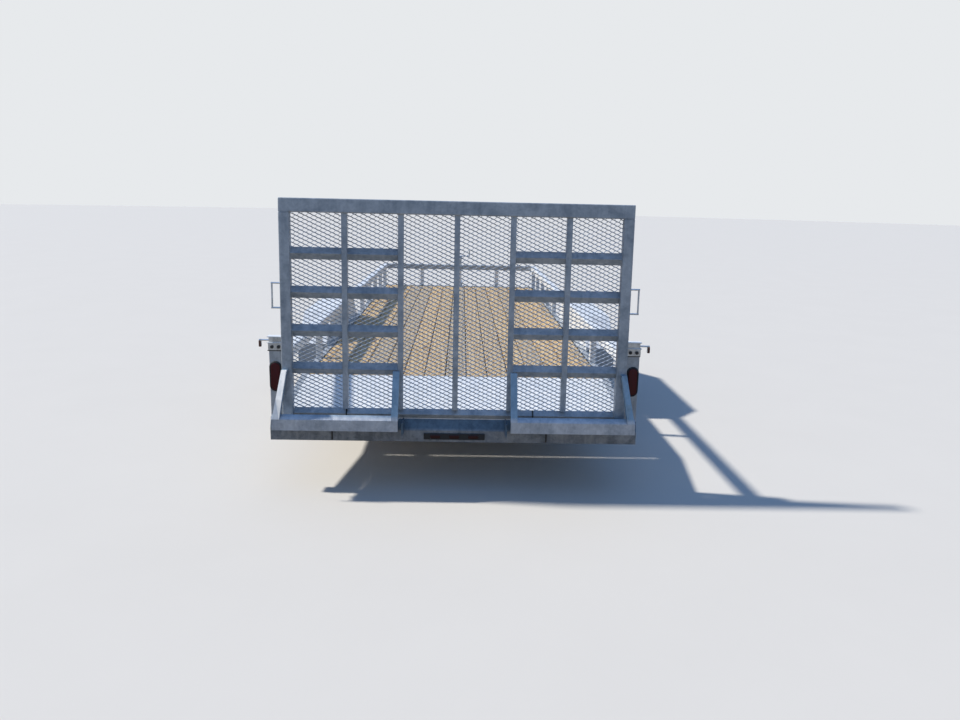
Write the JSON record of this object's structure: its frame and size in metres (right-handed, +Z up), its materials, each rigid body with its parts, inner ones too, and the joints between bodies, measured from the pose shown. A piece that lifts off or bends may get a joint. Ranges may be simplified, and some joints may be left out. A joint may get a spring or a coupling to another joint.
{
  "type": "tandem-axle utility trailer with a ramp gate",
  "caption": "Galvanized open flatbed trailer on two axles, with a wooden deck, low rails, fenders and a full-width mesh ramp gate.",
  "frame": {"origin": "on the floor, midway along the trailer from the back of the gate's foot to the coupler's nose, on the centre plane", "axes": "+X to the right, +Y forward to the coupler, +Z up"},
  "size_m": [2.54, 7.486, 1.7057],
  "materials": {
    "galvanized_steel": "hot-dip galvanized, mottled, semi-dull",
    "zinc_bright": "bright zinc plate",
    "pine_boards": "rough-sawn treated pine",
    "tyre_rubber": "matt",
    "rim_silver": "silver paint",
    "axle_black": "satin black paint",
    "lamp_red": "moulded lens",
    "lamp_black": "moulded base"
  },
  "bodies": {
    "trailer": {"axle_front": "axle_black", "axle_rear": "axle_black", "bumper": "galvanized_steel", "coupler": "zinc_bright", "cross_channels": "galvanized_steel", "deck_planks": "pine_boards", "fender_left": "galvanized_steel", "fender_right": "galvanized_steel", "frame_rail_left": "galvanized_steel", "frame_rail_right": "galvanized_steel", "front_channel": "galvanized_steel", "front_rail": "galvanized_steel", "jack_crank": "zinc_bright", "jack_leg": "zinc_bright", "jack_plate": "galvanized_steel", "jack_tube": "zinc_bright", "leaf_springs": "axle_black", "marker_bar": "lamp_black", "post_latches": "zinc_bright", "rail_stakes": "galvanized_steel", "rear_posts": "galvanized_steel", "side_rails": "galvanized_steel", "spring_hangers": "axle_black", "tail_deck": "galvanized_steel", "tail_lamps": "lamp_red", "tongue_channels": "galvanized_steel"},
    "gate": {"gate_feet": "galvanized_steel", "gate_handles": "galvanized_steel", "gate_mesh": "galvanized_steel", "gate_rungs": "galvanized_steel", "gate_side_bars": "galvanized_steel", "gate_top_bar": "galvanized_steel", "gate_uprights": "galvanized_steel"},
    "wheel_front_left": {"hub_front_left": "axle_black", "rim_front_left": "rim_silver", "tyre_front_left": "tyre_rubber"},
    "wheel_front_right": {"hub_front_right": "axle_black", "rim_front_right": "rim_silver", "tyre_front_right": "tyre_rubber"},
    "wheel_rear_left": {"hub_rear_left": "axle_black", "rim_rear_left": "rim_silver", "tyre_rear_left": "tyre_rubber"},
    "wheel_rear_right": {"hub_rear_right": "axle_black", "rim_rear_right": "rim_silver", "tyre_rear_right": "tyre_rubber"}
  },
  "joints": [
    {"name": "gate_hinge", "type": "hinge", "parent": "trailer", "child": "gate", "pos_m": [0, -3.6825, 0.425], "axis": [1, 0, 0], "range_deg": [0, 112.5]},
    {"name": "wheel_front_left_spin", "type": "hinge", "parent": "trailer", "child": "wheel_front_left", "pos_m": [-1.156, -0.6535, 0.343], "axis": [1, 0, 0], "continuous": true},
    {"name": "wheel_front_right_spin", "type": "hinge", "parent": "trailer", "child": "wheel_front_right", "pos_m": [1.156, -0.6535, 0.343], "axis": [1, 0, 0], "continuous": true},
    {"name": "wheel_rear_left_spin", "type": "hinge", "parent": "trailer", "child": "wheel_rear_left", "pos_m": [-1.156, -1.5035, 0.343], "axis": [1, 0, 0], "continuous": true},
    {"name": "wheel_rear_right_spin", "type": "hinge", "parent": "trailer", "child": "wheel_rear_right", "pos_m": [1.156, -1.5035, 0.343], "axis": [1, 0, 0], "continuous": true}
  ]
}
